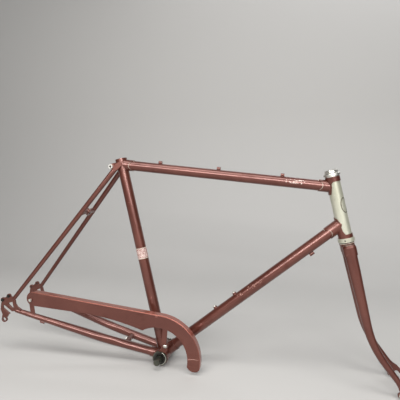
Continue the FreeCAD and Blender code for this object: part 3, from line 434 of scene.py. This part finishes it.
def bead(points, thick):
    """A rounded bead along a closed run of points."""
    count = len(points)
    rings = []
    for i, point in enumerate(points):
        run = (points[(i + 1) % count] - points[i - 1]).normalized()
        side = run.cross(Vector((0.31, 0.77, 0.55))).normalized()
        lift = run.cross(side)
        rings.append([beads.verts.new(point + (side * math.cos(a) + lift * math.sin(a)) * thick)
                      for a in (2 * math.pi * k / 8 for k in range(8))])
    for i in range(count):
        one, two = rings[i], rings[(i + 1) % count]
        best = min(range(8), key=lambda shift: (one[0].co - two[shift].co).length)
        for k in range(8):
            beads.faces.new((one[k], one[(k + 1) % 8], two[(k + 1 + best) % 8],
                             two[(k + best) % 8])).smooth = True


def saddle(foot, run, up, tube, radius):
    """A ring of points where a round boss stands on a tube."""
    side = run.cross(up)
    ring = []
    for step in range(40):
        turn = 2 * math.pi * step / 40
        over = radius * math.sin(turn)
        rise = math.sqrt(tube ** 2 - over ** 2)
        ring.append(foot + run * (radius * math.cos(turn)) + side * over + up * rise)
    return ring


for distance in boss_places:
    bead(saddle(down_axis * distance, down_axis, down_rise, down_radius, boss_foot_radius), 0.0008)
bead(saddle(down_axis * down_stop_place, down_axis, -down_rise, down_radius, stop_foot_radius), 0.0008)
for loop_x in loop_places:
    ring = []
    for step in range(40):
        turn = 2 * math.pi * step / 40
        over = loop_foot_wide * math.sin(turn)
        rise = math.sqrt(top_radius ** 2 - over ** 2)
        ring.append(Vector((loop_x + loop_foot_long * math.cos(turn), over, top_height + rise)))
    bead(ring, 0.0007)
for node, tilt in (("brake_bridge", 0.10), ("chainstay_bridge", 0.18)):
    bridge_low, bridge_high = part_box(node)
    bridge_middle = (bridge_low + bridge_high) / 2
    for side in (-1, 1):
        ring = []
        for step in range(40):
            turn = 2 * math.pi * step / 40
            ahead_by = bridge_foot_radius * math.cos(turn)
            outward = side * (bridge_high.y - 0.0022 - tilt * ahead_by)
            ring.append(bridge_middle + Vector((ahead_by, outward, bridge_foot_radius * math.sin(turn))))
        bead(ring, 0.0009)
piece("brazing_beads", beads, red_brown, "frame")


# Headset races, bolts and screws: turned steel with bright plating, dulled and lightly pitted. The
# bottom bracket parts are bare steel darkened by old grease. The lower cup is painted cream with the
# head tube, and the crown race and the guard's washer and arm red-brown.
def plated(name, colour, rough, spots):
    """Plated or bare steel, cloudy with handling and speckled with small pits."""
    finish, shader, place = new_finish(name)
    cloud = place.noise(60.0, 4.0, 0.6).over(0.4, 0.75)
    pits = place.noise(520.0, 3.0, 0.6).over(0.66 - 0.06 * spots, 0.74 - 0.06 * spots)
    shade = cloud.tint(colour, [c * 0.62 for c in colour])
    shade = (pits * 0.85).tint(shade, (0.10, 0.062, 0.04))
    feed(shader, place.noise(260.0, 3.0) * 0.2 - pits, 0.0001, 0.5, Base_Color=shade,
         Roughness=rough + cloud * 0.12 + pits * 0.4, Metallic=1 - pits * 0.7)
    return finish


bright_plate = plated("bright_plating", (0.82, 0.81, 0.75), 0.34, 0.3)
bare_steel = plated("bare_steel", (0.115, 0.120, 0.098), 0.40, 1.1)
dark_steel = plated("blackened_steel", (0.055, 0.052, 0.050), 0.46, 0.6)
slots = {part["node"]: part["material_slot"] for part in frame["record"]["subparts"]}
for slot, finish in (("chrome", bright_plate), ("bare_steel", bare_steel), ("dark_steel", dark_steel)):
    dress([node for node, used in slots.items() if used == slot], finish, 0.0002)
dress(["lower_head_cup"], cream, 0.0002)
dress(["crown_race", "guard_rear_washer", "guard_front_arm"], red_brown, 0.0002)

# Oil hole: a small hole drilled in the lower cup's side so that the headset can be oiled without
# taking it apart. It is not cut: a black disc on the cup stands for it, painted shade for its dark inside.
lower_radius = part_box("lower_head_cup")[1].y
hole_foot = crown_seat + head_axis * 0.0088
hole_radius = 0.0018
hole_out = off_side(head_front, math.radians(-14))
hole_side = hole_out.cross(head_axis)
rows = []
for step in range(24):
    turn = 2 * math.pi * step / 24
    rows.append([])
    for radius in (0.0001, hole_radius):
        swing = radius * math.cos(turn)
        spot = hole_foot + head_axis * (radius * math.sin(turn)) + hole_side * swing
        rows[-1].append(spot + hole_out * (math.sqrt(lower_radius ** 2 - swing ** 2) + 0.0001))
skin("cup_oil_hole_shade", rows, dark_steel, "frame", closed=True)

# Crown race: a thin cream line is drawn round its foot, and a black band round its top edge is painted shade,
# the shadow in the gap under the lower cup.
race_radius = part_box("crown_race")[1].y
race_line = (crown_seat, head_axis, head_front)
for name, span, finish, slot in (("crown_race_lining", (0.0003, 0.0012), lining_ink, "cream_paint"),
                                 ("crown_race_gap_shade", (0.0018, 0.0034), dark_steel, "dark_steel")):
    wrapped(name, race_line, race_radius + 0.0001, span, (0, 360), (72, 1), finish, "fork")

# Fixed cup: the face round the bore is near black, and a bright band round half of its rim is a painted
# highlight, on the side that catches the light.
cup_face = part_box("right_fixed_cup")[0].y
rim_section = ((0.0158, 0.0001), (0.0163, 0.00035), (0.0172, 0.00035), (0.0174, 0.0001))
painted_rim_highlight = plated("painted_rim_highlight", (0.70, 0.70, 0.62), 0.30, 0.4)
rows = []
for step in range(73):
    turn = math.radians(-115 + 190 * step / 72)
    rows.append([Vector((radius * math.cos(turn), cup_face - lift, radius * math.sin(turn)))
                 for radius, lift in rim_section])
skin("cup_painted_rim_highlight", rows, painted_rim_highlight, "frame")
rows = []
for step in range(72):
    turn = 2 * math.pi * step / 72
    rows.append([Vector((radius * math.cos(turn), cup_face - 0.00008, radius * math.sin(turn)))
                 for radius in (0.0112, 0.0135, 0.0157)])
skin("cup_dark_face", rows, dark_steel, "frame", closed=True)

# Eyelet and boss screws and the seat binder bolt: steel heads, each with a six-sided socket pressed in for a key.
# The socket is not cut: a flat black hexagon on each head is the painted shade inside it.
sockets = bmesh.new()
small_socket, bolt_socket = 0.0019, 0.0032
rear_axle = Vector(mounts["rear_axle_slots"]["pos_m"])
eyelets = [rear_axle + Vector((x, 0, z)) for x, z in ((-0.016, 0.025), (0.002, 0.0385))]
screw_low, screw_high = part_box("rear_eyelet_screws")
boss_screw_top = down_radius + 0.0068
heads = [(Vector((spot.x, y, spot.z)), Vector((0, side, 0)), small_socket) for spot in eyelets
         for y, side in ((screw_low.y, -1), (screw_high.y, 1))]
heads += [(down_axis * distance + down_rise * boss_screw_top, down_rise, small_socket)
          for distance in boss_places]
bolt_low, bolt_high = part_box("seat_binder_bolt")
bolt_middle = (bolt_low + bolt_high) / 2
heads.append((Vector((bolt_middle.x, bolt_low.y, bolt_middle.z)), Vector((0, -1, 0)), bolt_socket))
for centre, out, radius in heads:
    side = out.cross(Vector((0.2, 0.3, 0.9))).normalized()
    lift = out.cross(side)
    middle = centre + out * 0.00005
    sockets.faces.new([sockets.verts.new(middle + (side * math.cos(a) + lift * math.sin(a)) * radius)
                       for a in (math.pi / 3 * k for k in range(6))])
piece("screw_socket_shades", sockets, dark_steel, "frame")

# Chainguard: pressed sheet steel with a turned-in top edge, painted to match and bolted on by a strap
# at each end. A fine crack in the paint runs across the hook near its tip.
guard_low, guard_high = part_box("chainguard")
hook_centre_z = guard_high.z - guard_high.x


def guard_corner(place):
    """How far in a point lies from the guard's long top edge and the outside of its hook."""
    ahead_of_centre = place.maths("MAXIMUM", place.part(0), 0.0)
    above = place.part(2) - hook_centre_z
    squared = ahead_of_centre * ahead_of_centre + above * above
    return guard_high.x - squared.maths("SQRT", squared, 0.0)


guard_enamel = enamel("guard_enamel", enamel_colour, enamel_faded, old_rust, 0.6, guard_corner)
dress(["chainguard"], guard_enamel, 0.0005)
dress(["guard_rear_strap", "guard_front_strap"], red_brown, 0.0003)
guard_centre = Vector((0.0, guard_low.y, hook_centre_z))
crack_ink = ink("crack_edge", (0.42, 0.22, 0.18), (0.50, 0.30, 0.25), 0.02)
rows = []
for step in range(25):
    share = step / 24
    turn = math.radians(7.0 + 2.2 * math.sin(2.6 * share + 0.4))
    radius = 0.0800 + 0.0312 * share
    thick = 0.00045 * math.sin(math.pi * min(1.0, share * 1.2)) ** 0.5 + 0.0001
    spoke = Vector((math.cos(turn), 0, math.sin(turn)))
    across_spoke = Vector((-spoke.z, 0, spoke.x)) * thick
    centre = guard_centre + spoke * radius + Vector((0, -0.00006, 0))
    rows.append([centre - across_spoke, centre + across_spoke])
skin("guard_paint_crack", rows, crack_ink, "frame")

# Fork: a cast crown brazed to oval blades that taper and sweep forward to flat slotted ends. It is
# all painted with the frame, and turns in the head tube.
dress(["fork_crown", "right_fork_end", "left_fork_end"], red_brown, 0.0006)
dress(["right_fork_blade", "left_fork_blade"], red_brown, 0)
